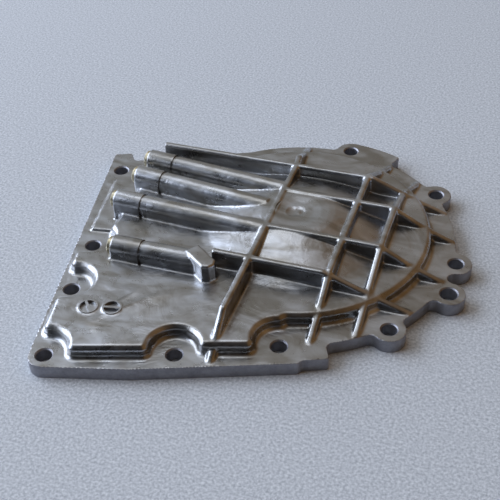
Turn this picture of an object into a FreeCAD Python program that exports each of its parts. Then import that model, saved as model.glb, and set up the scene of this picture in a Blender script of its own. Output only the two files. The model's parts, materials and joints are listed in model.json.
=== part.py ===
"""Die cast housing: a flat pressure die cast aluminium cover with four plugged oil galleries.

All sizes are millimetres and degrees. The casting is drawn about the axis of its round dome, with
the sealing face at height zero, +X along the galleries and +Z up. Every finished piece is then
placed so that the dowel hole stands at the origin.
"""
import FreeCAD, Part
import math
import os
import Sketcher

Vector = FreeCAD.Vector
UP = Vector(0, 0, 1)
CENTRE = Vector(0, 0, 0)
FORWARD = -90
CLOSE = 0.01

SIZES = {
    # flange and its sealing face
    "flange_thickness": 8.5,
    "flange_radius": 96.0,
    "edge_margin": 9.0,
    "outline_blend": 4.0,
    "outline_corner": 1.5,
    # bolt circle round the dome, each hole by its angle
    "bolt_circle_radius": 97.5,
    "bolt_hole_radius": 4.5,
    "lug_radius": 9.6,
    "front_bolt_angle": -79.6,
    "front_right_bolt_angle": -42.6,
    "right_bolt_angle": -0.5,
    "back_right_bolt_angle": 40.6,
    "back_bolt_angle": 84.7,
    "hole_chamfer": 0.7,
    # dowel hole, the datum of the finished part
    "dowel_x": 98.0,
    "dowel_y": -28.0,
    "dowel_hole_radius": 5.0,
    # ears, where the flange is as wide as its lugs
    "ear_radius": 107.3,
    "front_ear_start": -78.5,
    "front_ear_sweep": 14.0,
    "back_ear_start": 66.5,
    "back_ear_sweep": 17.0,
    # left edge, its row of bolts and the front edge
    "corner_bolt_x": -103.0,
    "corner_bolt_y": -139.0,
    "left_edge_angle": 100.7,
    "second_bolt_distance": 53.5,
    "third_bolt_distance": 94.0,
    "third_bolt_inset": 2.0,
    "fourth_bolt_distance": 174.2,
    "left_edge_length": 193.0,
    "fifth_bolt_distance": 71.4,
    "fifth_bolt_angle": 16.9,
    "front_edge_angle": 14.5,
    "front_edge_first_run": 47.0,
    "front_edge_second_angle": 19.6,
    "front_edge_second_run": 92.0,
    # back left tab and notch
    "tab_width": 11.9,
    "tab_angle": 21.0,
    "notch_depth": 9.6,
    "notch_angle": -57.0,
    "back_edge_angle": 23.4,
    "back_edge_run": 84.0,
    # raised plateau inside the flange
    "plateau_height": 8.0,
    "plateau_radius": 81.0,
    "plateau_left_offset": 4.0,
    "plateau_front_offset": 2.7,
    "plateau_back_y": 50.0,
    "plateau_tube_end_x": -111.0,
    "scallop_radius": 13.8,
    "plateau_corner_blend": 3.6,
    "plateau_rim_bevel": 2.2,
    "plateau_foot_bevel": 1.8,
    # low pad beside the gallery ends
    "pad_height": 1.6,
    "pad_left_x": -126.0,
    "pad_front_y": -33.2,
    "pad_length": 54.0,
    "pad_angle": 8.2,
    # domed roof
    "dome_height": 10.5,
    "dome_foot_radius": 58.0,
    "dome_flat_radius": 21.0,
    "dome_foot_bevel": 2.2,
    "dome_flat_bevel": 1.8,
    "hub_dish_radius": 14.5,
    "hub_dish_floor_radius": 9.0,
    "hub_dish_depth": 0.9,
    # walls and hidden side
    "wall": 4.4,
    "roof": 4.0,
    "hub_boss_radius": 14.5,
    "hub_boss_drop": 7.0,
    "hub_boss_bore_radius": 8.0,
    # ribs
    "rib_thickness": 4.4,
    "rib_chamfer": 1.1,
    "rib_top": 27.8,
    "rib_flat_radius": 58.0,
    "rib_ridge_radius": 76.0,
    "rib_ridge_rise": 0.7,
    "rib_tip_radius": 95.3,
    "rib_tip_rise": 0.4,
    "rib_root": 4.0,
    "rib_one_y": 45.5,
    "rib_two_y": 18.5,
    "rib_three_y": -19.0,
    "rib_four_y": -50.0,
    "cross_rib_one_x": -14.6,
    "cross_rib_two_x": 32.5,
    "cross_rib_three_x": 55.3,
    "rib_one_start": -106.5,
    "rib_four_start": -37.0,
    "cross_rib_front_flat": 94.0,
    "cross_rib_front_toe": 108.2,
    "cross_rib_toe_rise": 0.8,
    "wall_gusset_start": 110.5,
    "wall_gusset_end": 118.8,
    "stub_one_angle": 96.5,
    "stub_two_angle": 81.0,
    "stub_three_angle": 80.0,
    # oil galleries
    "gallery_height": 21.3,
    "gallery_radius": 6.4,
    "collar_radius": 6.8,
    "collar_length": 19.0,
    "witness_groove": 0.9,
    "witness_depth": 0.6,
    "gallery_bore_radius": 3.5,
    "gallery_bore_length": 52.0,
    "port_radius": 3.0,
    "port_inset": 5.0,
    "gallery_one_x": -112.5,
    "gallery_one_y": 33.2,
    "gallery_one_angle": -5.8,
    "gallery_one_length": 97.0,
    "gallery_two_x": -113.0,
    "gallery_two_y": 14.2,
    "gallery_two_angle": -6.3,
    "gallery_two_length": 93.0,
    "gallery_three_x": -115.5,
    "gallery_three_y": -13.4,
    "gallery_three_angle": -3.0,
    "gallery_three_length": 102.0,
    "gallery_four_x": -98.0,
    "gallery_four_y": -56.4,
    "gallery_four_angle": 0.5,
    "gallery_four_length": 57.0,
    # elbow at the end of the fourth gallery
    "elbow_angle": -36.0,
    "elbow_back": 9.0,
    "elbow_front": 12.2,
    "elbow_left": 3.3,
    "elbow_right": 6.9,
    "elbow_top": 28.2,
    "elbow_corner": 3.0,
    "elbow_chamfer": 1.0,
    # gallery plugs
    "plug_seat_radius": 5.5,
    "plug_seat_depth": 7.0,
    "plug_clearance": 0.03,
    "plug_proud": 2.6,
    "plug_run_in": 4.0,
    "plug_chamfer": 0.7,
    "plug_socket_flats": 5.0,
    "plug_socket_depth": 4.0,
    # cast date dials
    "dial_radius": 5.4,
    "dial_rise": 0.7,
    "dial_recess_radius": 4.4,
    "dial_recess_depth": 1.4,
    "dial_bar_width": 1.5,
    "dial_one_x": -91.7,
    "dial_one_y": -105.0,
    "dial_one_angle": -50.0,
    "dial_two_x": -78.3,
    "dial_two_y": -101.9,
    "dial_two_angle": 10.0,
}

doc = FreeCAD.newDocument("DieCastHousing")
sheet = doc.addObject("Spreadsheet::Sheet", "Sizes")
for row, (name, value) in enumerate(SIZES.items(), start=1):
    sheet.set("A%d" % row, name)
    sheet.set("B%d" % row, str(value))
    sheet.setAlias("B%d" % row, name)
doc.recompute()


def size(name):
    """One driving size, read from the sheet."""
    return float(sheet.get(name))


def bind(thing, **expressions):
    """Tie properties of an object to cells of the sheet."""
    for prop, expression in expressions.items():
        thing.setExpression(prop, expression)
    return thing


def add(kind, name, **expressions):
    """A document object with its sizes bound to the sheet."""
    return bind(doc.addObject(kind, name), **expressions)


def fuse(name, pieces, refine=True):
    joined = doc.addObject("Part::MultiFuse", name)
    joined.Shapes = pieces
    joined.Refine = refine
    return joined


def cut(name, base, tool, refine=True):
    remainder = doc.addObject("Part::Cut", name)
    remainder.Base = base
    remainder.Tool = tool
    remainder.Refine = refine
    return remainder


def place(thing, position, angle=0.0):
    """Stand an object at a position, turned about the vertical."""
    thing.Placement = FreeCAD.Placement(position, FreeCAD.Rotation(UP, angle))
    return thing


def direction(angle):
    """Unit vector in plan at an angle from +X."""
    return Vector(math.cos(math.radians(angle)), math.sin(math.radians(angle)), 0)


def step(start, angle, distance, outward=0.0):
    """Point reached from start along an angle, then square to it on the left."""
    return start + direction(angle) * distance + direction(angle + 90) * outward


def extrude(name, base, start, length):
    """Straight vertical extrusion of a plan outline between two heights."""
    block = add("Part::Extrusion", name, LengthFwd=length)
    block.Base = base
    block.DirMode = "Custom"
    block.Dir = UP
    block.Solid = True
    place(block, Vector(0, 0, start))
    return block


def outline_face(points):
    return Part.Face(Part.makePolygon(points + points[:1]))


def disc_face(radius, centre):
    return Part.Face(Part.Wire(Part.makeCircle(radius, centre)))


def merged(faces):
    """Union of flat faces at height zero as one face with no inner lines."""
    slabs = [face.extrude(UP) for face in faces]
    whole = slabs[0].multiFuse(slabs[1:]).removeSplitter()
    return next(face for face in whole.Faces if face.BoundBox.ZMax < CLOSE)


def rounded_plan(face, inner, outer):
    """Round the inner corners of a flat face by one radius and the outer ones by another."""
    closed = face.makeOffset2D(inner).makeOffset2D(-inner)
    return closed.makeOffset2D(-outer).makeOffset2D(outer).Faces[0]


def plan_feature(name, face):
    plan = doc.addObject("Part::Feature", name)
    plan.Shape = face
    return plan


def break_edges(name, base, rules):
    """Chamfer the edges of base; rules gives (edge test, size name) pairs."""
    doc.recompute()
    chosen = []
    for number, edge in enumerate(base.Shape.Edges, start=1):
        for test, amount in rules:
            if test(edge):
                chosen.append((number, size(amount), size(amount)))
                break
    broken = doc.addObject("Part::Chamfer", name)
    broken.Base = base
    broken.Edges = chosen
    return broken


def at_height(edge, height):
    """True for an edge that lies level at a height."""
    box = edge.BoundBox
    return abs(box.ZMin - height) < CLOSE and abs(box.ZMax - height) < CLOSE


# ---------------------------------------------------------------- bolt positions

DOWEL = Vector(size("dowel_x"), size("dowel_y"), 0)
CORNER = Vector(size("corner_bolt_x"), size("corner_bolt_y"), 0)
LEFT = size("left_edge_angle")


def circle_bolts():
    """Bolts on the circle round the dome, from the front anticlockwise."""
    names = ("front", "front_right", "right", "back_right", "back")
    return [step(CENTRE, size(name + "_bolt_angle"), size("bolt_circle_radius")) for name in names]


def edge_bolts():
    """Bolts of the straight left and front edges, the corner bolt first."""
    second = step(CORNER, LEFT, size("second_bolt_distance"))
    third = step(CORNER, LEFT, size("third_bolt_distance"), -size("third_bolt_inset"))
    fourth = step(CORNER, LEFT, size("fourth_bolt_distance"))
    fifth = step(CORNER, size("fifth_bolt_angle"), size("fifth_bolt_distance"))
    return [CORNER, second, third, fourth, fifth]


# ---------------------------------------------------------------- flange


def pie_face(radius, start, sweep):
    """Slice of a disc about the dome axis."""
    first, middle, last = [step(CENTRE, start + sweep * share, radius) for share in (0, 0.5, 1)]
    edges = [Part.LineSegment(CENTRE, first), Part.Arc(first, middle, last), Part.LineSegment(last, CENTRE)]
    return Part.Face(Part.Wire([edge.toShape() for edge in edges]))


def flange_plan():
    """Outline of the flange: a disc with lugs and ears, run out to a straight left and front edge."""
    margin = size("edge_margin")
    left_foot = step(CORNER, LEFT, 0, margin)
    tab_outer = step(CORNER, LEFT, size("left_edge_length"), margin)
    tab_inner = step(tab_outer, size("tab_angle"), size("tab_width"))
    notch = step(tab_inner, size("notch_angle"), size("notch_depth"))
    back = step(notch, size("back_edge_angle"), size("back_edge_run"))
    front_foot = step(CORNER, size("front_edge_angle"), 0, -margin)
    front_middle = step(front_foot, size("front_edge_angle"), size("front_edge_first_run"))
    front_end = step(front_middle, size("front_edge_second_angle"), size("front_edge_second_run"))
    left = [front_foot, left_foot, tab_outer, tab_inner, notch, back]
    body = outline_face(left + [CENTRE, front_end, front_middle])
    disc = disc_face(size("flange_radius"), CENTRE)
    lugs = [disc_face(size("lug_radius"), bolt) for bolt in circle_bolts() + [DOWEL]]
    corner = disc_face(margin, CORNER)
    reach = size("ear_radius")
    ears = [pie_face(reach, size(end + "_ear_start"), size(end + "_ear_sweep")) for end in ("front", "back")]
    whole = merged([disc, body, corner] + lugs + ears)
    return rounded_plan(whole, size("outline_blend"), size("outline_corner"))


flange = extrude("flange", plan_feature("flange_plan", flange_plan()), 0, "Sizes.flange_thickness")

# ---------------------------------------------------------------- plateau


def plateau_plan():
    """Outline of the raised plateau: round about the dome, scalloped about the edge bolts."""
    corner, second, third, fourth, fifth = edge_bolts()
    front_bolt = circle_bolts()[0]
    lift = size("fifth_bolt_angle")
    front_length = (front_bolt - corner).dot(direction(lift))
    body = outline_face(
        [
            step(corner, LEFT, 0, size("plateau_left_offset")),
            step(corner, LEFT, size("third_bolt_distance"), size("plateau_left_offset")),
            Vector(size("plateau_tube_end_x"), third.y + size("scallop_radius"), 0),
            Vector(size("plateau_tube_end_x"), size("plateau_back_y"), 0),
            Vector(-size("dome_foot_radius"), size("plateau_back_y"), 0),
            CENTRE,
            front_bolt,
            step(corner, lift, front_length),
            step(fifth, lift, 0),
            step(fifth, lift, 0, -size("plateau_front_offset")),
            step(corner, lift, 0, -size("plateau_front_offset")),
        ]
    )
    disc = disc_face(size("plateau_radius"), CENTRE)
    scalloped_bolts = (corner, second, third, fifth, front_bolt)
    scallops = [disc_face(size("scallop_radius"), bolt) for bolt in scalloped_bolts]
    scalloped = merged([disc, body]).cut(scallops[0].multiFuse(scallops[1:])).Faces[0]
    blend = size("plateau_corner_blend")
    return rounded_plan(scalloped, blend, blend)


FLANGE_TOP = size("flange_thickness")
PLATEAU_TOP = FLANGE_TOP + size("plateau_height")
DOME_TOP = PLATEAU_TOP + size("dome_height")
TOP_OF_PLATEAU = "Sizes.flange_thickness + Sizes.plateau_height"
TOP_OF_DOME = TOP_OF_PLATEAU + " + Sizes.dome_height"

plateau_face = plateau_plan()
plateau = extrude("plateau", plan_feature("plateau_plan", plateau_face), 0, TOP_OF_PLATEAU)

# ---------------------------------------------------------------- sketches

AXIS_INDEX = -1
START_INDEX = 1
END_INDEX = 2


def sketch(name, corners):
    """Closed sketch in the XZ plane; each corner is a pair of expressions for its X and Z."""
    drawing = doc.addObject("Sketcher::SketchObject", name)
    drawing.Placement = FreeCAD.Placement(CENTRE, FreeCAD.Rotation(Vector(1, 0, 0), 90))
    spots = [Vector(sheet.evalExpression(u), sheet.evalExpression(v), 0) for u, v in corners]
    for spot, following in zip(spots, spots[1:] + spots[:1]):
        drawing.addGeometry(Part.LineSegment(spot, following), False)
    for number, (spot, expressions) in enumerate(zip(spots, corners)):
        following = (number + 1) % len(spots)
        drawing.addConstraint(Sketcher.Constraint("Coincident", number, END_INDEX, following, START_INDEX))
        for kind, expression, value in zip(("DistanceX", "DistanceY"), expressions, spot):
            dimension = Sketcher.Constraint(kind, AXIS_INDEX, START_INDEX, number, START_INDEX, value)
            drawing.setExpression("Constraints[%d]" % drawing.addConstraint(dimension), expression)
    return drawing


def revolve(name, corners):
    """Solid turned about the dome axis from a sketch of its half section."""
    turned = doc.addObject("Part::Revolution", name)
    turned.Source = sketch(name + "_section", corners)
    turned.Axis = UP
    turned.Angle = 360
    turned.Solid = True
    return turned


# ---------------------------------------------------------------- dome and outer skin

dome = revolve(
    "dome",
    [
        ("0", "0"),
        ("Sizes.dome_foot_radius", "0"),
        ("Sizes.dome_foot_radius", TOP_OF_PLATEAU),
        ("Sizes.dome_flat_radius", TOP_OF_DOME),
        ("0", TOP_OF_DOME),
    ],
)


def is_ring(edge, radius):
    """True for an arc about the dome axis with a named radius."""
    curve = edge.Curve
    if not isinstance(curve, Part.Circle):
        return False
    off_axis = math.hypot(curve.Center.x, curve.Center.y)
    return off_axis < CLOSE and abs(curve.Radius - size(radius)) < CLOSE


def on_plateau_rim(edge):
    """Outer top edge of the plateau."""
    return at_height(edge, PLATEAU_TOP) and not is_ring(edge, "dome_foot_radius")


def on_plateau_foot(edge):
    """Inner corner where the plateau wall meets the flange."""
    if not at_height(edge, FLANGE_TOP):
        return False
    middle = edge.valueAt((edge.FirstParameter + edge.LastParameter) / 2)
    flat = Part.Vertex(middle.x, middle.y, 0)
    return plateau_face.OuterWire.distToShape(flat)[0] < CLOSE


def on_dome_foot(edge):
    return at_height(edge, PLATEAU_TOP) and is_ring(edge, "dome_foot_radius")


def on_dome_flat(edge):
    return at_height(edge, DOME_TOP) and is_ring(edge, "dome_flat_radius")


raw_skin = fuse("raw_skin", [flange, plateau, dome])
skin = break_edges(
    "skin",
    raw_skin,
    [
        (on_plateau_foot, "plateau_foot_bevel"),
        (on_plateau_rim, "plateau_rim_bevel"),
        (on_dome_foot, "dome_foot_bevel"),
        (on_dome_flat, "dome_flat_bevel"),
    ],
)

# ---------------------------------------------------------------- ribs


def chord(radius, offset):
    """Expression for half the chord of a circle about the dome axis at an offset."""
    return "sqrt(Sizes.%s^2 - (%s)^2)" % (radius, offset)


RIB_RIDGE = TOP_OF_PLATEAU + " + Sizes.rib_ridge_rise"
RIB_TIP = "Sizes.flange_thickness + Sizes.rib_tip_rise"


def falling_side(offset):
    """Top of a rib from the end of its level stretch down over the ridge to its tip on the flange."""
    return [
        (chord("rib_flat_radius", offset), "Sizes.rib_top"),
        (chord("rib_ridge_radius", offset), RIB_RIDGE),
        (chord("rib_tip_radius", offset), RIB_TIP),
    ]


def crest(offset, start):
    """Top of a rib that falls on both sides of the dome, from its start to its tip."""
    after = falling_side(offset)
    line = [("-" + reach, height) for reach, height in reversed(after)] + after
    begins = sheet.evalExpression(start)
    ahead = next(n for n, (reach, height) in enumerate(line) if sheet.evalExpression(reach) > begins)
    if ahead == 0:
        return [(start, RIB_TIP)] + line
    (reach, height), (next_reach, next_height) = line[ahead - 1 : ahead + 1]
    climb = "((%s) - (%s)) / ((%s) - (%s))" % (next_height, height, next_reach, reach)
    return [(start, "%s + %s * ((%s) - (%s))" % (height, climb, start, reach))] + line[ahead:]


def rib(name, angle, offset, top):
    """Upright rib along a line at an offset to the left of the dome axis, with chamfered top edges."""
    root = "Sizes.rib_root"
    slab = add("Part::Extrusion", name + "_slab", LengthFwd="Sizes.rib_thickness")
    slab.Base = sketch(name + "_profile", [(top[0][0], root)] + top + [(top[-1][0], root)])
    slab.DirMode = "Custom"
    slab.Dir = Vector(0, 1, 0)
    slab.Symmetric = True
    slab.Solid = True

    def on_top(edge):
        """True for the long edges on both sides of the rib's top."""
        ends = [vertex.Point for vertex in edge.Vertexes]
        along = abs(ends[-1].x - ends[0].x) > CLOSE
        beside = abs(ends[-1].y - ends[0].y) < CLOSE
        return along and beside and edge.BoundBox.ZMin > size("rib_root") + CLOSE

    chamfered = break_edges(name, slab, [(on_top, "rib_chamfer")])
    return place(chamfered, step(CENTRE, angle, 0, sheet.evalExpression(offset)), angle)


def cross_rib(name, offset):
    """Rib square to the galleries, from the first rib to its tip at the front of the flange."""
    return rib(name, FORWARD, offset, crest(offset, "-Sizes.rib_one_y"))


def long_rib(name, offset, start):
    """Rib along X, level from its start, down to its tip on the right of the flange."""
    return rib(name, 0, offset, [(start, "Sizes.rib_top")] + falling_side(offset))


def stub(name, angle, root_x):
    """Back end of a cross rib, turned a little, from the first rib to its tip behind."""
    reach = "(%s * cos(%s) + Sizes.rib_one_y * sin(%s))" % (root_x, angle, angle)
    offset = "(Sizes.rib_one_y * cos(%s) - %s * sin(%s))" % (angle, root_x, angle)
    return rib(name, sheet.evalExpression(angle), offset, crest(offset, reach))


ribs = [
    long_rib("rib_one", "Sizes.rib_one_y", "Sizes.rib_one_start"),
    long_rib("rib_two", "Sizes.rib_two_y", "Sizes.cross_rib_one_x"),
    long_rib("rib_three", "Sizes.rib_three_y", "Sizes.cross_rib_one_x"),
    long_rib("rib_four", "Sizes.rib_four_y", "Sizes.rib_four_start"),
    cross_rib("cross_rib_two", "Sizes.cross_rib_two_x"),
    cross_rib("cross_rib_three", "Sizes.cross_rib_three_x"),
    rib(
        "cross_rib_one",
        FORWARD,
        "Sizes.cross_rib_one_x",
        [
            ("-Sizes.rib_one_y", "Sizes.rib_top"),
            ("Sizes.cross_rib_front_flat", "Sizes.rib_top"),
            ("Sizes.cross_rib_front_toe", TOP_OF_PLATEAU + " + Sizes.cross_rib_toe_rise"),
        ],
    ),
    rib(
        "wall_gusset",
        FORWARD,
        "Sizes.cross_rib_one_x",
        [
            ("Sizes.wall_gusset_start", TOP_OF_PLATEAU + " - Sizes.plateau_rim_bevel"),
            ("Sizes.wall_gusset_end", RIB_TIP),
        ],
    ),
]
for number in ("one", "two", "three"):
    ribs.append(stub("stub_" + number, "Sizes.stub_%s_angle" % number, "Sizes.cross_rib_%s_x" % number))

# ---------------------------------------------------------------- oil galleries


def lying_cylinder(name, radius, start, length, position, angle):
    """Cylinder along a gallery, starting at a distance from the gallery's outer end."""
    bar = add("Part::Cylinder", name, Radius=radius, Height=length)
    turn = FreeCAD.Rotation(UP, angle) * FreeCAD.Rotation(Vector(0, 1, 0), 90)
    bar.Placement = FreeCAD.Placement(step(position, angle, start), turn)
    return bar


def loaf(name, radius, start, length, position, angle):
    """Rounded gallery wall with straight sides that run down into the casting."""
    crown = lying_cylinder(name + "_crown", radius, start, length, position, angle)
    root = "Sizes.gallery_height - Sizes.rib_root"
    block = add("Part::Box", name + "_sides", Length=length, Width="2 * (%s)" % radius, Height=root)
    reach = sheet.evalExpression(radius)
    corner = step(position, angle, start, -reach)
    place(block, Vector(corner.x, corner.y, size("rib_root")), angle)
    return [crown, block]


GALLERIES = ("one", "two", "three", "four")


def gallery_end(number):
    """Centre of the outer end of a gallery."""
    return Vector(size("gallery_%s_x" % number), size("gallery_%s_y" % number), size("gallery_height"))


def gallery_wall(number):
    """Core, collar and tapering run of one gallery, with the witness groove between them."""
    angle = size("gallery_%s_angle" % number)
    whole = "Sizes.gallery_%s_length" % number
    end = gallery_end(number)
    collar = size("collar_length")
    groove = collar + size("witness_groove")
    name = "gallery_%s" % number
    pieces = loaf(name + "_core", "Sizes.gallery_radius - Sizes.witness_depth", 0, whole, end, angle)
    pieces += loaf(name + "_collar", "Sizes.collar_radius", 0, "Sizes.collar_length", end, angle)
    run = whole + " - Sizes.collar_length - Sizes.witness_groove"
    pieces += loaf(name + "_run", "Sizes.gallery_radius", groove, run, end, angle)
    return fuse(name, pieces)


def gallery_hollow(number):
    """Drilled bore of one gallery, its plug seat and the port that leads down from its far end."""
    angle = size("gallery_%s_angle" % number)
    end = gallery_end(number)
    name = "gallery_%s" % number
    length = "Sizes.gallery_bore_length"
    bore = lying_cylinder(name + "_bore", "Sizes.gallery_bore_radius", 0, length, end, angle)
    run_in = size("plug_run_in")
    depth = "Sizes.plug_run_in + Sizes.plug_seat_depth"
    seat = lying_cylinder(name + "_seat", "Sizes.plug_seat_radius", -run_in, depth, end, angle)
    port = add("Part::Cylinder", name + "_port", Radius="Sizes.port_radius", Height="Sizes.gallery_height")
    foot = step(end, angle, size("gallery_bore_length") - size("port_inset"))
    place(port, Vector(foot.x, foot.y, 0))
    return [bore, seat, port]


def elbow():
    """Block at the far end of the fourth gallery, turned towards the front."""
    angle = size("elbow_angle")
    block = add(
        "Part::Box",
        "elbow_block",
        Length="Sizes.elbow_back + Sizes.elbow_front",
        Width="Sizes.elbow_left + Sizes.elbow_right",
        Height="Sizes.elbow_top - Sizes.rib_root",
    )
    turn = step(gallery_end("four"), size("gallery_four_angle"), size("gallery_four_length"))
    corner = step(turn, angle, -size("elbow_back"), -size("elbow_right"))
    place(block, Vector(corner.x, corner.y, size("rib_root")), angle)
    far_end = step(turn, angle, size("elbow_front")).dot(direction(angle))

    def at_far_end(edge):
        """True for the upright edges of the end away from the gallery."""
        upright = edge.BoundBox.ZLength > size("elbow_top") / 2
        return upright and abs(edge.CenterOfMass.dot(direction(angle)) - far_end) < CLOSE

    def on_top(edge):
        return at_height(edge, size("elbow_top"))

    cornered = break_edges("elbow_cornered", block, [(at_far_end, "elbow_corner")])
    return break_edges("elbow", cornered, [(on_top, "elbow_chamfer")])


walls = [gallery_wall(number) for number in GALLERIES] + [elbow()]

# ---------------------------------------------------------------- small cast details


def low_pad():
    """Step between the left edge and the gallery ends."""
    pad = add(
        "Part::Box",
        "gallery_pad",
        Length="Sizes.plateau_tube_end_x - Sizes.pad_left_x + Sizes.scallop_radius",
        Width="Sizes.pad_length",
        Height="Sizes.pad_height + Sizes.flange_thickness / 2",
    )
    return place(pad, Vector(size("pad_left_x"), size("pad_front_y"), FLANGE_TOP / 2), size("pad_angle"))


def disc(name, radius, height, position):
    return place(add("Part::Cylinder", name, Radius=radius, Height=height), position)


DIALS = ("one", "two")


def dial_centre(number, height):
    return Vector(size("dial_%s_x" % number), size("dial_%s_y" % number), height)


def dial_disc(number):
    """Raised disc of a date dial."""
    height = "Sizes.plateau_height / 2 + Sizes.dial_rise"
    base = dial_centre(number, PLATEAU_TOP - size("plateau_height") / 2)
    return disc("dial_%s_disc" % number, "Sizes.dial_radius", height, base)


def dial_recess(number):
    """Recess of a date dial with its pointer left standing."""
    name = "dial_%s" % number
    top = PLATEAU_TOP + size("dial_rise")
    floor = top - size("dial_recess_depth")
    depth = "Sizes.dial_recess_depth + Sizes.dial_rise"
    round_cut = disc(name + "_round", "Sizes.dial_recess_radius", depth, dial_centre(number, floor))
    bar = add(
        "Part::Box",
        name + "_bar",
        Length="2 * Sizes.dial_radius",
        Width="Sizes.dial_bar_width",
        Height=depth,
    )
    angle = size("dial_%s_angle" % number)
    corner = step(dial_centre(number, floor), angle, -size("dial_radius"), -size("dial_bar_width") / 2)
    place(bar, corner, angle)
    return cut(name + "_recess", round_cut, bar)


def hub_dish():
    """Shallow dish in the crown of the dome."""
    dish = add(
        "Part::Cone",
        "hub_dish",
        Radius1="Sizes.hub_dish_floor_radius",
        Radius2="Sizes.hub_dish_radius",
        Height="Sizes.hub_dish_depth",
    )
    return place(dish, Vector(0, 0, DOME_TOP - size("hub_dish_depth")))


# ---------------------------------------------------------------- hidden side


def cavity():
    """Hollow under the roof, one wall thickness inside the plateau and one roof thickness under it."""
    inner_face = plateau_face.makeOffset2D(-size("wall"))
    plan = plan_feature("cavity_plan", inner_face)
    room = extrude("cavity_room", plan, 0, TOP_OF_PLATEAU + " - Sizes.roof")
    slope = "(Sizes.dome_height / (Sizes.dome_foot_radius - Sizes.dome_flat_radius))"
    inset = "Sizes.roof * " + slope + " / 2"
    under_dome = revolve(
        "cavity_dome",
        [
            ("Sizes.hub_boss_radius", "0"),
            ("Sizes.dome_foot_radius - " + inset, "0"),
            ("Sizes.dome_foot_radius - " + inset, TOP_OF_PLATEAU + " - Sizes.roof"),
            ("Sizes.dome_flat_radius - " + inset, TOP_OF_DOME + " - Sizes.roof"),
            ("Sizes.hub_boss_radius", TOP_OF_DOME + " - Sizes.roof"),
        ],
    )
    boss_foot = TOP_OF_DOME + " - Sizes.roof - Sizes.hub_boss_drop"
    boss_height = "Sizes.roof + Sizes.hub_boss_drop"
    boss = disc("hub_boss", "Sizes.hub_boss_radius", boss_height, UP * sheet.evalExpression(boss_foot))
    bore_height = boss_foot + " + Sizes.hub_boss_drop"
    bore = disc("hub_boss_bore", "Sizes.hub_boss_bore_radius", bore_height, CENTRE)
    below = disc("hub_boss_below", "Sizes.hub_boss_radius", boss_foot, CENTRE)
    hollow = cut("cavity_ring", fuse("cavity_rooms", [room, under_dome]), boss)
    return fuse("cavity", [hollow, bore, below])


# ---------------------------------------------------------------- holes


def drilled(name, radius, position):
    """Hole through the flange with a chamfered rim."""
    hole = disc(name, radius, "3 * Sizes.flange_thickness", position - UP * FLANGE_TOP)
    rim = add(
        "Part::Cone",
        name + "_rim",
        Radius1=radius,
        Radius2=radius + " + 2 * Sizes.hole_chamfer",
        Height="2 * Sizes.hole_chamfer",
    )
    place(rim, position + UP * (FLANGE_TOP - size("hole_chamfer")))
    return [hole, rim]


holes = drilled("dowel_hole", "Sizes.dowel_hole_radius", DOWEL)
for number, bolt in enumerate(edge_bolts() + circle_bolts(), start=1):
    holes += drilled("bolt_hole_%d" % number, "Sizes.bolt_hole_radius", bolt)

# ---------------------------------------------------------------- the casting

solid_details = [low_pad()] + [dial_disc(number) for number in DIALS]
blank = fuse("blank", [skin] + ribs + walls + solid_details)
hollows = [cavity(), hub_dish()] + [dial_recess(number) for number in DIALS] + holes
for number in GALLERIES:
    hollows += gallery_hollow(number)
housing = cut("housing", blank, fuse("hollows", hollows, refine=False))
housing.Label = "housing"
housing.Placement = FreeCAD.Placement(-DOWEL, FreeCAD.Rotation())

# ---------------------------------------------------------------- gallery plugs


def plug(number):
    """Screwed plug of one gallery, seated on the shoulder of its bore."""
    name = "gallery_plug_%s" % number
    length = "Sizes.plug_seat_depth + Sizes.plug_proud"
    radius = "Sizes.plug_seat_radius - Sizes.plug_clearance"
    body = add("Part::Cylinder", name + "_body", Radius=radius, Height=length)
    socket = add("Part::Prism", name + "_socket", Height="2 * Sizes.plug_socket_depth")
    socket.Polygon = 6
    bind(socket, Circumradius="Sizes.plug_socket_flats / sqrt(3)")
    socket.Placement.Base = Vector(0, 0, -size("plug_socket_depth"))
    bevelled = break_edges(name + "_bevelled", body, [(lambda edge: at_height(edge, 0), "plug_chamfer")])
    finished = cut(name, bevelled, socket)
    finished.Label = name
    angle = size("gallery_%s_angle" % number)
    turn = FreeCAD.Rotation(UP, angle) * FreeCAD.Rotation(Vector(0, 1, 0), 90)
    seat = step(gallery_end(number), angle, -size("plug_proud"))
    finished.Placement = FreeCAD.Placement(seat - DOWEL, turn)
    return finished


pieces = [housing] + [plug(number) for number in GALLERIES]

# ---------------------------------------------------------------- checks and export

doc.recompute()
for thing in doc.Objects:
    if "Invalid" in thing.State or "Error" in thing.State:
        raise RuntimeError("%s failed to build: %s" % (thing.Label, thing.State))
for piece in pieces:
    if piece.Shape.isNull() or not piece.Shape.isValid() or len(piece.Shape.Solids) != 1:
        raise RuntimeError("%s is not one valid solid" % piece.Label)
os.makedirs("parts", exist_ok=True)
for piece in pieces:
    piece.Shape.exportStep("parts/%s.step" % piece.Label)
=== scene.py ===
import json
import math

import bmesh
import bpy
from mathutils import Matrix, Quaternion, Vector
from mathutils.bvhtree import BVHTree


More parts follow.
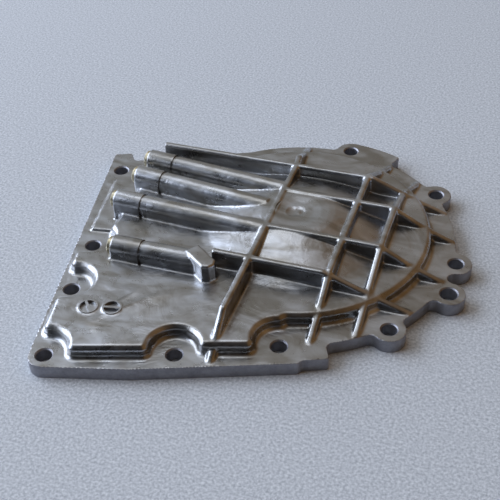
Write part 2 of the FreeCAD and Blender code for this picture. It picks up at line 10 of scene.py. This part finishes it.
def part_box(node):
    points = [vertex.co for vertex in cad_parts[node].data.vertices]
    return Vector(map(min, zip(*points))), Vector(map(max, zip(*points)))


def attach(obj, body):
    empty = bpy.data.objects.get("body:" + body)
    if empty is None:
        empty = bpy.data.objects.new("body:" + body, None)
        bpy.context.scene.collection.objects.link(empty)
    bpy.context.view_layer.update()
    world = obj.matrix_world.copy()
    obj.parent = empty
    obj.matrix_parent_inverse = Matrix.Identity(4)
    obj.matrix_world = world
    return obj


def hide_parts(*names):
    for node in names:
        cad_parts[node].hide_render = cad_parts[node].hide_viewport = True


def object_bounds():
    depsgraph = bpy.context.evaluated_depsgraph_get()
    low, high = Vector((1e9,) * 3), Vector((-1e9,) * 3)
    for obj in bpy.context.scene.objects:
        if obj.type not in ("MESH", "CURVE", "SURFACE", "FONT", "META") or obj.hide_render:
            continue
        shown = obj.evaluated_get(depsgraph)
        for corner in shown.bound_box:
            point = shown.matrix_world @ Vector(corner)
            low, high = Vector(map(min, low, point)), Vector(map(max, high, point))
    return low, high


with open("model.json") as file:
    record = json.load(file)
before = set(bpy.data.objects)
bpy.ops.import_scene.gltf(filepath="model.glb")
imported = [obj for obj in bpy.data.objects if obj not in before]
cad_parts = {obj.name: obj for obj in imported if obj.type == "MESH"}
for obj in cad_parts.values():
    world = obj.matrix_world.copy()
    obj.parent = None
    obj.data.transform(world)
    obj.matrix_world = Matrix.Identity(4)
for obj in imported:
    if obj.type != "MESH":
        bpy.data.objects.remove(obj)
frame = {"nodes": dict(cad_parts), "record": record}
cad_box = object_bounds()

MM = 0.001
bores = [mount for mount in frame["record"]["mounts"] if mount["kind"] == "bore"]

# ---------------------------------------------------------------- sizes of the real casting
# Lengths are in mm and angles in degrees, here and wherever a name says nothing else.

FLANGE_TOP = 8.5
PLATEAU_TOP = 16.5
DOME_TOP = 27.0
DOME_AXIS = Vector((-98.0, 28.0, 0.0))
HOLE_CHAMFER = 0.7

GALLERY_ANGLES = {"one": -5.8, "two": -6.3, "three": -3.0, "four": 0.5}
GALLERY_HEIGHT = 21.3
GALLERY_RADIUS = 6.4
PLUG_CENTRE_TO_WITNESS = 17.2
WITNESS_WIDTH = 1.9
WITNESS_DEPTH = 0.4

DIAL_RADIUS = 5.6
DIAL_RISE = 0.9
DIAL_RECESS_RADIUS = 4.7
DIAL_RECESS_DEPTH = 1.7
DIAL_BAR = 1.5
# Each dial's centre from the dome axis, and the way its pointer bar is turned.
DIALS = (((-91.7, -105.0), -50.0), ((-78.3, -101.9), 10.0))

DISH_RADIUS = 14.0
DISH_DEPTH = 1.6
DISH_LIP = 0.1
DISH_RING_PITCH = 5.2
DISH_RING_HEIGHT = 0.24
CUP_CENTRE = (DOME_AXIS.x - 2.5, DOME_AXIS.y - 0.8, DOME_TOP - 1.28)
# Radius and height of the cup's corners, from its floor to above the dish.
CUP_PROFILE = ((0, -0.5), (2.2, -0.4), (4.4, 0), (5.72, 0.8), (0, 0.8))

# Start and end of each line where two streams of metal met.
FLOW_LINES = (((-191.0, -95.5), (-148.5, -46.5)), ((-183.5, -79.5), (-163.8, -49.0)))
FLOW_LINE_HALF_WIDTH = 1.6
FLOW_LINE_RISE = 0.32

# ---------------------------------------------------------------- how finely it is made

CASTING_GRID = 0.6
SMOOTHING_PASSES = 8
SMOOTHING_FACTOR = 0.5
CASTING_TRIANGLES = 175_000

UNDERCUT = 2.5  # stock left under the sealing face for the face mill
MILL_DEPTH = 4 * UNDERCUT
SEALING_FACE_LIMIT = 0.01
RIM_FOOT = 5.0
RIM_TOP = FLANGE_TOP - 0.02
TRIM_TOP = FLANGE_TOP - 0.08
LEVEL_NORMAL = 0.95  # upward share of a normal from which its face counts as level

OVERCUT = 1.0  # how far a cutter stands clear of the surface it enters
WITNESS_OVERCUT = 1.5
SLIVER = 0.05
CREASE_ANGLE = 38

ROUND_SIDES = 64
DIAL_SIDES = 48
DISH_SIDES = 96
DISH_STEPS = 48
ARCH_STEPS = 24
HALF_MOON_STEPS = 20

# ---------------------------------------------------------------- colours and nodes


def linear(hex_colour):
    """Linear RGBA from an sRGB hex colour such as "8c8f94"."""
    shares = [int(hex_colour[i : i + 2], 16) / 255 for i in (0, 2, 4)]
    return [s / 12.92 if s <= 0.04045 else ((s + 0.055) / 1.055) ** 2.4 for s in shares] + [1.0]


def add_node(tree, kind, settings=None, **links):
    """Adds one node. settings holds its properties and input values, links its linked inputs."""
    made = tree.nodes.new("ShaderNode" + kind)
    for name, value in (settings or {}).items():
        if name in made.bl_rna.properties:
            setattr(made, name, value)
        else:
            made.inputs[name].default_value = value
    for name, source in links.items():
        tree.links.new(source, made.inputs[name.replace("_", " ")])
    return made


def blank_material(name):
    """A material, its empty node tree, and the place on the object in metres."""
    material = bpy.data.materials.new(name)
    material.use_nodes = True
    tree = material.node_tree
    tree.nodes.clear()
    return material, tree, add_node(tree, "TexCoord").outputs["Object"]


def finish_material(tree, shader):
    add_node(tree, "OutputMaterial", Surface=shader.outputs[0])


def per_mm(length):
    """Texture scale whose features are about a length in mm."""
    return 1 / (length * MM)


# ---------------------------------------------------------------- materials


def tumbled_die_cast_aluminium():
    """Aluminium-silicon pressure die casting, tumbled: a satin grey skin. Slight waviness and
    uneven gloss break every highlight into soft clouds, and broad pale and dark streaks follow
    the way the metal ran."""
    material, tree, place = blank_material("tumbled_die_cast_aluminium")
    flow = add_node(
        tree,
        "TexNoise",
        {"Scale": per_mm(30), "Detail": 4.0, "Roughness": 0.55, "Distortion": 1.6},
        Vector=place,
    ).outputs["Fac"]
    cloud = add_node(
        tree,
        "TexNoise",
        {"Scale": per_mm(9), "Detail": 5.0, "Roughness": 0.65},
        Vector=place,
    ).outputs["Fac"]
    drawn = add_node(
        tree,
        "Mapping",
        {"Scale": (0.45, 1.0, 1.0), "Rotation": (0, 0, -0.5)},
        Vector=place,
    ).outputs["Vector"]
    streaks = add_node(
        tree,
        "TexNoise",
        {"Scale": per_mm(16), "Detail": 3.0, "Roughness": 0.5, "Distortion": 1.2},
        Vector=drawn,
    ).outputs["Fac"]
    grain = add_node(
        tree,
        "TexNoise",
        {"Scale": per_mm(0.9), "Detail": 2.0},
        Vector=place,
    ).outputs["Fac"]
    pale = add_node(
        tree,
        "MapRange",
        {"From Min": 0.36, "From Max": 0.66},
        Value=streaks,
    ).outputs["Result"]
    tone = add_node(
        tree,
        "Mix",
        {"data_type": "RGBA", "A": linear("908e8a"), "B": linear("b6b9be")},
        Factor=pale,
    ).outputs["Result"]
    gloss = add_node(
        tree,
        "MapRange",
        {"From Min": 0.32, "From Max": 0.68, "To Min": 0.24, "To Max": 0.4},
        Value=cloud,
    ).outputs["Result"]
    waves = add_node(
        tree,
        "Bump",
        {"Strength": 1.0, "Distance": 0.55 * MM},
        Height=flow,
    ).outputs["Normal"]
    dimples = add_node(
        tree,
        "Bump",
        {"Strength": 0.5, "Distance": 0.14 * MM},
        Height=cloud,
        Normal=waves,
    ).outputs["Normal"]
    skin = add_node(
        tree,
        "Bump",
        {"Strength": 0.15, "Distance": 0.05 * MM},
        Height=grain,
        Normal=dimples,
    ).outputs["Normal"]
    shader = add_node(
        tree,
        "BsdfPrincipled",
        {"Metallic": 1.0},
        Base_Color=tone,
        Roughness=gloss,
        Normal=skin,
    )
    finish_material(tree, shader)
    return material


def trimmed_edge_painted_shade():
    """Side of the flange where the die halves met and the flash was trimmed off: duller and rougher
    than the cast skin. Its darker tone is painted shade, which also dims the highlight along the
    rim."""
    material, tree, place = blank_material("trimmed_edge_painted_shade")
    blotches = add_node(
        tree,
        "TexNoise",
        {"Scale": per_mm(5), "Detail": 5.0, "Roughness": 0.7},
        Vector=place,
    ).outputs["Fac"]
    # Painted shade: both greys sit darker than the cast skin, so the steep sides of the flange look
    # shaded and dimmer.
    tone = add_node(
        tree,
        "Mix",
        {"data_type": "RGBA", "A": linear("6c6c72"), "B": linear("b9b9bf")},
        Factor=blotches,
    ).outputs["Result"]
    rough = add_node(
        tree,
        "Bump",
        {"Strength": 0.5, "Distance": 0.12 * MM},
        Height=blotches,
    ).outputs["Normal"]
    shader = add_node(
        tree,
        "BsdfPrincipled",
        {"Metallic": 1.0, "Roughness": 0.55},
        Base_Color=tone,
        Normal=rough,
    )
    finish_material(tree, shader)
    return material


def milled_aluminium():
    """Aluminium cut by a milling cutter or drill: brighter and smoother than the cast skin."""
    material, tree, place = blank_material("milled_aluminium")
    marks = add_node(
        tree,
        "TexNoise",
        {"Scale": per_mm(0.8), "Detail": 1.0},
        Vector=place,
    ).outputs["Fac"]
    grooves = add_node(
        tree,
        "Bump",
        {"Strength": 0.2, "Distance": 0.03 * MM},
        Height=marks,
    ).outputs["Normal"]
    shader = add_node(
        tree,
        "BsdfPrincipled",
        {"Metallic": 1.0, "Base Color": linear("c9cbcd"), "Roughness": 0.28},
        Normal=grooves,
    )
    finish_material(tree, shader)
    return material


def dark_brown_groove_fill():
    """Matt dark brown, nearly black, laid into the witness groove of a slide."""
    material, tree, place = blank_material("dark_brown_groove_fill")
    patch = add_node(
        tree,
        "TexNoise",
        {"Scale": per_mm(2), "Detail": 3.0},
        Vector=place,
    ).outputs["Fac"]
    tone = add_node(
        tree,
        "Mix",
        {"data_type": "RGBA", "A": linear("1c1714"), "B": linear("4a3d33")},
        Factor=patch,
    ).outputs["Result"]
    shader = add_node(tree, "BsdfPrincipled", {"Roughness": 0.7}, Base_Color=tone)
    finish_material(tree, shader)
    return material


def turned_brass():
    """Plain brass turned on a lathe: pale warm yellow, with dull patches of tarnish."""
    material, tree, place = blank_material("turned_brass")
    tarnish = add_node(
        tree,
        "TexNoise",
        {"Scale": per_mm(4), "Detail": 3.0},
        Vector=place,
    ).outputs["Fac"]
    tone = add_node(
        tree,
        "Mix",
        {"data_type": "RGBA", "A": linear("94835a"), "B": linear("f3ecd2")},
        Factor=tarnish,
    ).outputs["Result"]
    dull = add_node(
        tree,
        "MapRange",
        {"From Min": 0.35, "From Max": 0.65, "To Min": 0.42, "To Max": 0.24},
        Value=tarnish,
    ).outputs["Result"]
    shader = add_node(
        tree,
        "BsdfPrincipled",
        {"Metallic": 1.0},
        Base_Color=tone,
        Roughness=dull,
    )
    finish_material(tree, shader)
    return material


def pale_speckled_laminate():
    """Matt pale laminate with a fine speckle, drawn coarser than the real print so that it
    shows."""
    material, tree, place = blank_material("pale_speckled_laminate")
    speckle = add_node(
        tree,
        "TexNoise",
        {"Scale": per_mm(1.5), "Detail": 3.0, "Roughness": 0.7},
        Vector=place,
    ).outputs["Fac"]
    spread = add_node(
        tree,
        "MapRange",
        {"From Min": 0.3, "From Max": 0.7},
        Value=speckle,
    ).outputs["Result"]
    tone = add_node(
        tree,
        "Mix",
        {"data_type": "RGBA", "A": linear("9fa6ad"), "B": linear("dfe4e9")},
        Factor=spread,
    ).outputs["Result"]
    shader = add_node(
        tree,
        "BsdfPrincipled",
        {"Roughness": 0.85, "Specular IOR Level": 0.2},
        Base_Color=tone,
    )
    finish_material(tree, shader)
    return material


CAST = tumbled_die_cast_aluminium()
MILLED = milled_aluminium()
GROOVE_FILL = dark_brown_groove_fill()
SHADED_TRIM = trimmed_edge_painted_shade()
BRASS = turned_brass()
FINISHES = (CAST, MILLED, GROOVE_FILL, SHADED_TRIM)
CAST_SLOT, MILLED_SLOT, GROOVE_FILL_SLOT, SHADED_TRIM_SLOT = range(len(FINISHES))

# ---------------------------------------------------------------- mesh helpers


def new_object(name, mesh, *materials):
    thing = bpy.data.objects.new(name, mesh)
    bpy.context.collection.objects.link(thing)
    mesh.materials.clear()
    for material in materials:
        mesh.materials.append(material)
    return thing


def mesh_from(build, name):
    """Mesh made from a bmesh, with its faces turned outwards."""
    bmesh.ops.recalc_face_normals(build, faces=build.faces)
    mesh = bpy.data.meshes.new(name)
    build.to_mesh(mesh)
    build.free()
    return mesh


def turned(name, profile, sides=ROUND_SIDES):
    """Closed solid of revolution about Z from (radius, height) pairs."""
    build = bmesh.new()
    rings = []
    for radius, height in profile:
        if radius == 0:
            rings.append([build.verts.new((0, 0, height * MM))])
            continue
        angles = [2 * math.pi * i / sides for i in range(sides)]
        reach = radius * MM
        spots = [(reach * math.cos(a), reach * math.sin(a), height * MM) for a in angles]
        rings.append([build.verts.new(spot) for spot in spots])
    for lower, upper in zip(rings, rings[1:]):
        for i in range(sides):
            corners = [lower[i % len(lower)], lower[(i + 1) % len(lower)]]
            corners += [upper[(i + 1) % len(upper)], upper[i % len(upper)]]
            unique = list(dict.fromkeys(corners))
            if len(unique) > 2:
                build.faces.new(unique)
    return mesh_from(build, name)


def prism(name, near, far):
    """Closed solid between two outlines of (x, y, z) places whose corners match."""
    build = bmesh.new()
    ends = []
    for outline in (near, far):
        ends.append([build.verts.new((x * MM, y * MM, z * MM)) for x, y, z in outline])
    build.faces.new(ends[0])
    build.faces.new(ends[1])
    for i in range(len(near)):
        j = (i + 1) % len(near)
        build.faces.new((ends[0][i], ends[0][j], ends[1][j], ends[1][i]))
    return mesh_from(build, name)


def bar(name, section, length):
    """Closed bar along X, centred, from a closed section of (y, z) pairs."""
    near, far = [[(x, y, z) for y, z in section] for x in (-length / 2, length / 2)]
    return prism(name, near, far)


def joined_mesh(name, parts):
    """One mesh from (mesh, matrix, material slot) parts."""
    build = bmesh.new()
    for mesh, matrix, slot in parts:
        first = len(build.faces)
        build.from_mesh(mesh)
        build.faces.ensure_lookup_table()
        fresh = build.faces[first:]
        corners = list({vert for face in fresh for vert in face.verts})
        bmesh.ops.transform(build, matrix=matrix, verts=corners)
        for face in fresh:
            face.material_index = slot
    mesh = bpy.data.meshes.new(name)
    build.to_mesh(mesh)
    build.free()
    return mesh


def apply_modifiers(thing):
    """Replaces the object's mesh by its evaluated one."""
    graph = bpy.context.evaluated_depsgraph_get()
    made = bpy.data.meshes.new_from_object(thing.evaluated_get(graph), depsgraph=graph)
    thing.modifiers.clear()
    thing.data = made


def modify(thing, kind, **settings):
    """Adds one modifier to the object and applies it."""
    added = thing.modifiers.new(kind.lower(), kind)
    for name, value in settings.items():
        setattr(added, name, value)
    apply_modifiers(thing)


def combine(thing, operation, parts):
    """Adds closed (mesh, matrix, material slot) parts to the object, or cuts them from it."""
    tool = new_object("tool", joined_mesh("tool", parts))
    modify(thing, "BOOLEAN", operation=operation, solver="MANIFOLD", object=tool)
    bpy.data.objects.remove(tool)


def shade_smooth(thing, sharp_angle):
    """Smooth shading that keeps edges sharper than an angle, without sliver faces."""
    mesh = thing.data
    mesh.shade_smooth()
    build = bmesh.new()
    build.from_mesh(mesh)
    bmesh.ops.dissolve_degenerate(build, dist=SLIVER * MM, edges=build.edges)
    bmesh.ops.triangulate(build, faces=[face for face in build.faces if len(face.verts) > 3])
    limit = math.radians(sharp_angle)
    for edge in build.edges:
        edge.smooth = edge.calc_face_angle(0) < limit
    build.to_mesh(mesh)
    build.free()


def stand(x, y, z=0.0, angle=0.0):
    """Matrix that stands a mesh at a place, turned about the vertical."""
    turn = Matrix.Rotation(math.radians(angle), 4, "Z")
    return Matrix.Translation(Vector((x, y, z)) * MM) @ turn


def over_bore(bore):
    """Matrix that stands a mesh on the axis of a bore in the record."""
    x, y, _ = bore["pos_m"]
    return Matrix.Translation((x, y, 0))


# ---------------------------------------------------------------- the casting


def soft_casting():
    """The casting with the soft corners that a die leaves, before anything is machined."""
    blank = frame["nodes"]["housing"].data.copy()
    for vertex in blank.vertices:
        if vertex.co.z < SEALING_FACE_LIMIT * MM:
            vertex.co.z = -UNDERCUT * MM
    parts = [(blank, Matrix(), CAST_SLOT)]
    for bore in bores:
        radius = bore["dims"]["r_mm"] + 2 * HOLE_CHAMFER
        profile = [(0, -UNDERCUT), (radius, -UNDERCUT), (radius, FLANGE_TOP), (0, FLANGE_TOP)]
        parts.append((turned("filling", profile), over_bore(bore), CAST_SLOT))
    made = new_object("housing_casting", joined_mesh("housing_casting", parts), *FINISHES)
    modify(made, "REMESH", mode="VOXEL", voxel_size=CASTING_GRID * MM)
    modify(made, "SMOOTH", factor=SMOOTHING_FACTOR, iterations=SMOOTHING_PASSES)
    share = CASTING_TRIANGLES / (2 * len(made.data.polygons))
    modify(made, "DECIMATE", ratio=min(1, share))
    crisp_rim(made, blank)
    return made


def crisp_rim(thing, sharp_mesh):
    """Puts the rounded rim of the flange back on its sharp sides, as trimming the flash leaves
    it."""
    build = bmesh.new()
    build.from_mesh(sharp_mesh)
    surface = BVHTree.FromBMesh(build)
    build.free()
    for vertex in thing.data.vertices:
        if RIM_FOOT * MM < vertex.co.z < RIM_TOP * MM:
            vertex.co = surface.find_nearest(vertex.co)[0]


def face_mill():
    """Block under the sealing face that mills it flat."""
    low, high = (Vector(corner) for corner in cad_box)
    reach = 2 * max(high - low) / MM
    half = reach / 2
    section = [(-half, -MILL_DEPTH), (half, -MILL_DEPTH), (half, 0), (-half, 0)]
    middle = (low + high) / 2 / MM
    return [(bar("face_mill", section, reach), stand(middle.x, middle.y), MILLED_SLOT)]


def drills():
    """Drill and countersink for every hole in the flange."""
    made = []
    for bore in bores:
        radius = bore["dims"]["r_mm"]
        profile = [
            (0, -UNDERCUT),
            (radius, -UNDERCUT),
            (radius, FLANGE_TOP - HOLE_CHAMFER),
            (radius + 3 * HOLE_CHAMFER, FLANGE_TOP + 2 * HOLE_CHAMFER),
            (0, FLANGE_TOP + 2 * HOLE_CHAMFER),
        ]
        made.append((turned("drill", profile), over_bore(bore), MILLED_SLOT))
    return made


def arch(radius, foot):
    """Points of an arch over a gallery, from one foot to the other."""
    points = [(-radius, foot)]
    for i in range(ARCH_STEPS + 1):
        angle = math.pi * (1 - i / ARCH_STEPS)
        points.append((radius * math.cos(angle), GALLERY_HEIGHT + radius * math.sin(angle)))
    return points + [(radius, foot)]


def witness_line(number):
    """Groove that the slide of the die leaves across a gallery and down its sides."""
    foot = PLATEAU_TOP - WITNESS_DEPTH
    inner = arch(GALLERY_RADIUS - WITNESS_DEPTH, foot)
    outer = arch(GALLERY_RADIUS + WITNESS_OVERCUT, foot)
    angle = GALLERY_ANGLES[number]
    low, high = (Vector(corner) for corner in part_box("gallery_plug_" + number))
    along = Vector((math.cos(math.radians(angle)), math.sin(math.radians(angle)), 0))
    place = (low + high) / 2 / MM + along * PLUG_CENTRE_TO_WITNESS
    groove = bar("witness", outer + inner[::-1], WITNESS_WIDTH)
    return [(groove, stand(place.x, place.y, 0, angle), GROOVE_FILL_SLOT)]


def on_plateau(centre, angle=0.0):
    """Matrix that stands a mesh on the plateau, at a place from the dome axis."""
    x, y = centre
    return stand(DOME_AXIS.x + x, DOME_AXIS.y + y, PLATEAU_TOP, angle)


def dial_disc(centre):
    """Raised disc of a date dial."""
    profile = [(0, -DIAL_RISE), (DIAL_RADIUS, -DIAL_RISE), (DIAL_RADIUS, DIAL_RISE), (0, DIAL_RISE)]
    return turned("dial", profile, DIAL_SIDES), on_plateau(centre), CAST_SLOT


def half_moon():
    """Cutter for one of the two recesses of a date dial."""
    edge = math.asin(DIAL_BAR / 2 / DIAL_RECESS_RADIUS)
    sweep = math.pi - 2 * edge
    arc = [edge + sweep * i / HALF_MOON_STEPS for i in range(HALF_MOON_STEPS + 1)]
    outline = [(DIAL_RECESS_RADIUS * math.cos(a), DIAL_RECESS_RADIUS * math.sin(a)) for a in arc]
    levels = (DIAL_RISE - DIAL_RECESS_DEPTH, DIAL_RISE + OVERCUT)
    bottom, top = [[(x, y, level) for x, y in outline] for level in levels]
    return prism("half_moon", bottom, top)


def dial_recess(centre, angle):
    """The two half-moon recesses beside the pointer bar of a date dial."""
    return [(half_moon(), on_plateau(centre, angle + turn), CAST_SLOT) for turn in (0, 180)]


def hub_dish():
    """Shallow dish in the crown of the dome, with the rings that the core pin leaves."""
    profile = []
    for i in range(DISH_STEPS + 1):
        radius = DISH_RADIUS * i / DISH_STEPS
        bowl = DISH_DEPTH * (1 + math.cos(math.pi * radius / DISH_RADIUS)) / 2
        ring = DISH_RING_HEIGHT * math.cos(2 * math.pi * radius / DISH_RING_PITCH)
        profile.append((radius, -bowl + ring * (1 - radius / DISH_RADIUS)))
    profile += [(DISH_RADIUS + DISH_LIP, OVERCUT), (0, OVERCUT)]
    place = stand(DOME_AXIS.x, DOME_AXIS.y, DOME_TOP)
    return [(turned("dish", profile, DISH_SIDES), place, CAST_SLOT)]


def hub_cup():
    """Small off-centre cup in the dish, where the core pin stood."""
    return [(turned("cup", CUP_PROFILE), stand(*CUP_CENTRE), CAST_SLOT)]


def flow_line(start, end):
    """Low ridge in the plateau where two streams of metal met."""
    start, end = Vector(start), Vector(end)
    run = end - start
    reach = run.length / 2
    low, half = -FLOW_LINE_RISE, 2 * FLOW_LINE_HALF_WIDTH
    build = bmesh.new()
    spots = [(-reach, -half, low), (reach, -half, low), (reach, half, low), (-reach, half, low)]
    spots += [(-reach / 2, 0, FLOW_LINE_RISE), (reach / 2, 0, FLOW_LINE_RISE)]
    corners = [build.verts.new(Vector(spot) * MM) for spot in spots]
    for face in ((0, 1, 2, 3), (0, 1, 5, 4), (2, 3, 4, 5), (1, 2, 5), (3, 0, 4)):
        build.faces.new([corners[i] for i in face])
    middle = (start + end) / 2
    place = stand(middle.x, middle.y, PLATEAU_TOP, math.degrees(math.atan2(run.y, run.x)))
    return mesh_from(build, "flow_line"), place, CAST_SLOT


def trim_and_shade_edges(thing):
    """Gives the steep outer sides of the flange the finish of a trimmed edge, whose darker tone is
    painted shade.
    """
    for face in thing.data.polygons:
        steep = face.center.z < TRIM_TOP * MM and face.normal.z < LEVEL_NORMAL
        if face.material_index == CAST_SLOT and steep:
            face.material_index = SHADED_TRIM_SLOT


casting = soft_casting()
combine(casting, "DIFFERENCE", face_mill())
combine(casting, "DIFFERENCE", drills())
combine(casting, "DIFFERENCE", hub_dish())
combine(casting, "DIFFERENCE", hub_cup())
for start, end in FLOW_LINES:
    combine(casting, "UNION", [flow_line(start, end)])
for number in GALLERY_ANGLES:
    combine(casting, "DIFFERENCE", witness_line(number))
combine(casting, "UNION", [dial_disc(centre) for centre, _ in DIALS])
for centre, angle in DIALS:
    combine(casting, "DIFFERENCE", dial_recess(centre, angle))
casting.data.materials.clear()
for finish in FINISHES:
    casting.data.materials.append(finish)
trim_and_shade_edges(casting)
shade_smooth(casting, CREASE_ANGLE)
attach(casting, "root")
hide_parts("housing")

for name, node in frame["nodes"].items():
    if name.startswith("gallery_plug"):
        node.data.materials.clear()
        node.data.materials.append(BRASS)

# ---------------------------------------------------------------- floor and camera

FLOOR_METRES = 6.0
floor_mesh = bpy.data.meshes.new("floor")
build = bmesh.new()
bmesh.ops.create_grid(build, size=FLOOR_METRES / 2)
build.to_mesh(floor_mesh)
build.free()
floor = new_object("floor", floor_mesh, pale_speckled_laminate())

CAMERA_PLACE = Vector((34.7, -412.6, 381.4)) * MM
CAMERA_AIM = Vector((-121.1, 3.1, 10.0)) * MM
CAMERA_ROLL = -2.697
CAMERA_LENS = 68.665

camera_data = bpy.data.cameras.new("camera")
camera_data.lens = CAMERA_LENS
camera = bpy.data.objects.new("camera", camera_data)
bpy.context.collection.objects.link(camera)
look = (CAMERA_AIM - CAMERA_PLACE).to_track_quat("-Z", "Y")
camera.rotation_mode = "QUATERNION"
camera.rotation_quaternion = look @ Quaternion((0, 0, 1), math.radians(CAMERA_ROLL))
camera.location = CAMERA_PLACE
bpy.context.scene.camera = camera

# ---------------------------------------------------------------- light


def toward(azimuth, elevation):
    """Unit vector from the casting at an azimuth from +X and an elevation."""
    a, e = math.radians(azimuth), math.radians(elevation)
    return Vector((math.cos(a) * math.cos(e), math.sin(a) * math.cos(e), math.sin(e)))


def soft_box(name, azimuth, elevation, distance, width, height, power, colour):
    """Rectangular lamp aimed at the middle of the casting, in metres and watts."""
    lamp = bpy.data.lights.new(name, "AREA")
    lamp.shape = "RECTANGLE"
    lamp.size = width
    lamp.size_y = height
    lamp.energy = power
    lamp.color = linear(colour)[:3]
    thing = bpy.data.objects.new(name, lamp)
    bpy.context.collection.objects.link(thing)
    thing.location = CAMERA_AIM + toward(azimuth, elevation) * distance
    thing.rotation_mode = "QUATERNION"
    thing.rotation_quaternion = (-toward(azimuth, elevation)).to_track_quat("-Z", "Y")


soft_box(
    "left_window",
    azimuth=180,
    elevation=27,
    distance=3.4,
    width=4.4,
    height=2.7,
    power=195,
    colour="dfeaff",
)
soft_box(
    "ceiling_panel",
    azimuth=140,
    elevation=70,
    distance=2.0,
    width=0.9,
    height=0.9,
    power=4.5,
    colour="eef4ff",
)

world = bpy.data.worlds.new("studio")
bpy.context.scene.world = world
world.use_nodes = True
studio = world.node_tree
studio.nodes.clear()
way = add_node(studio, "TexCoord").outputs["Generated"]


def glow(below, colour, azimuth, elevation, start, full):
    """Blends a colour into the studio walls round one direction. It starts and is full where
    the cosine of the angle from that direction has these values."""
    facing = add_node(studio, "VectorMath", {"operation": "DOT_PRODUCT"}, Vector=way)
    facing.inputs[1].default_value = toward(azimuth, elevation)
    share = add_node(
        studio,
        "MapRange",
        {"interpolation_type": "SMOOTHSTEP", "From Min": start, "From Max": full},
        Value=facing.outputs["Value"],
    ).outputs["Result"]
    return add_node(
        studio,
        "Mix",
        {"data_type": "RGBA", "B": linear(colour)},
        Factor=share,
        A=below,
    ).outputs["Result"]


walls = add_node(studio, "RGB")
walls.outputs[0].default_value = linear("1f1f21")
light = walls.outputs[0]
light = glow(light, "e4ecf2", azimuth=135, elevation=74, start=0.78, full=0.97)
light = glow(light, "adadab", azimuth=118, elevation=40, start=0.2, full=0.96)
light = glow(light, "8c6c48", azimuth=20, elevation=22, start=0.1, full=0.95)
sky = add_node(studio, "Background", {"Strength": 1.0}, Color=light)
backdrop = add_node(studio, "Background", {"Color": linear("c4cad2"), "Strength": 1.0})
seen = add_node(studio, "LightPath").outputs["Is Camera Ray"]
mixed = add_node(studio, "MixShader", Fac=seen)
studio.links.new(sky.outputs[0], mixed.inputs[1])
studio.links.new(backdrop.outputs[0], mixed.inputs[2])
add_node(studio, "OutputWorld", Surface=mixed.outputs[0])

bpy.context.scene.view_settings.view_transform = "Standard"
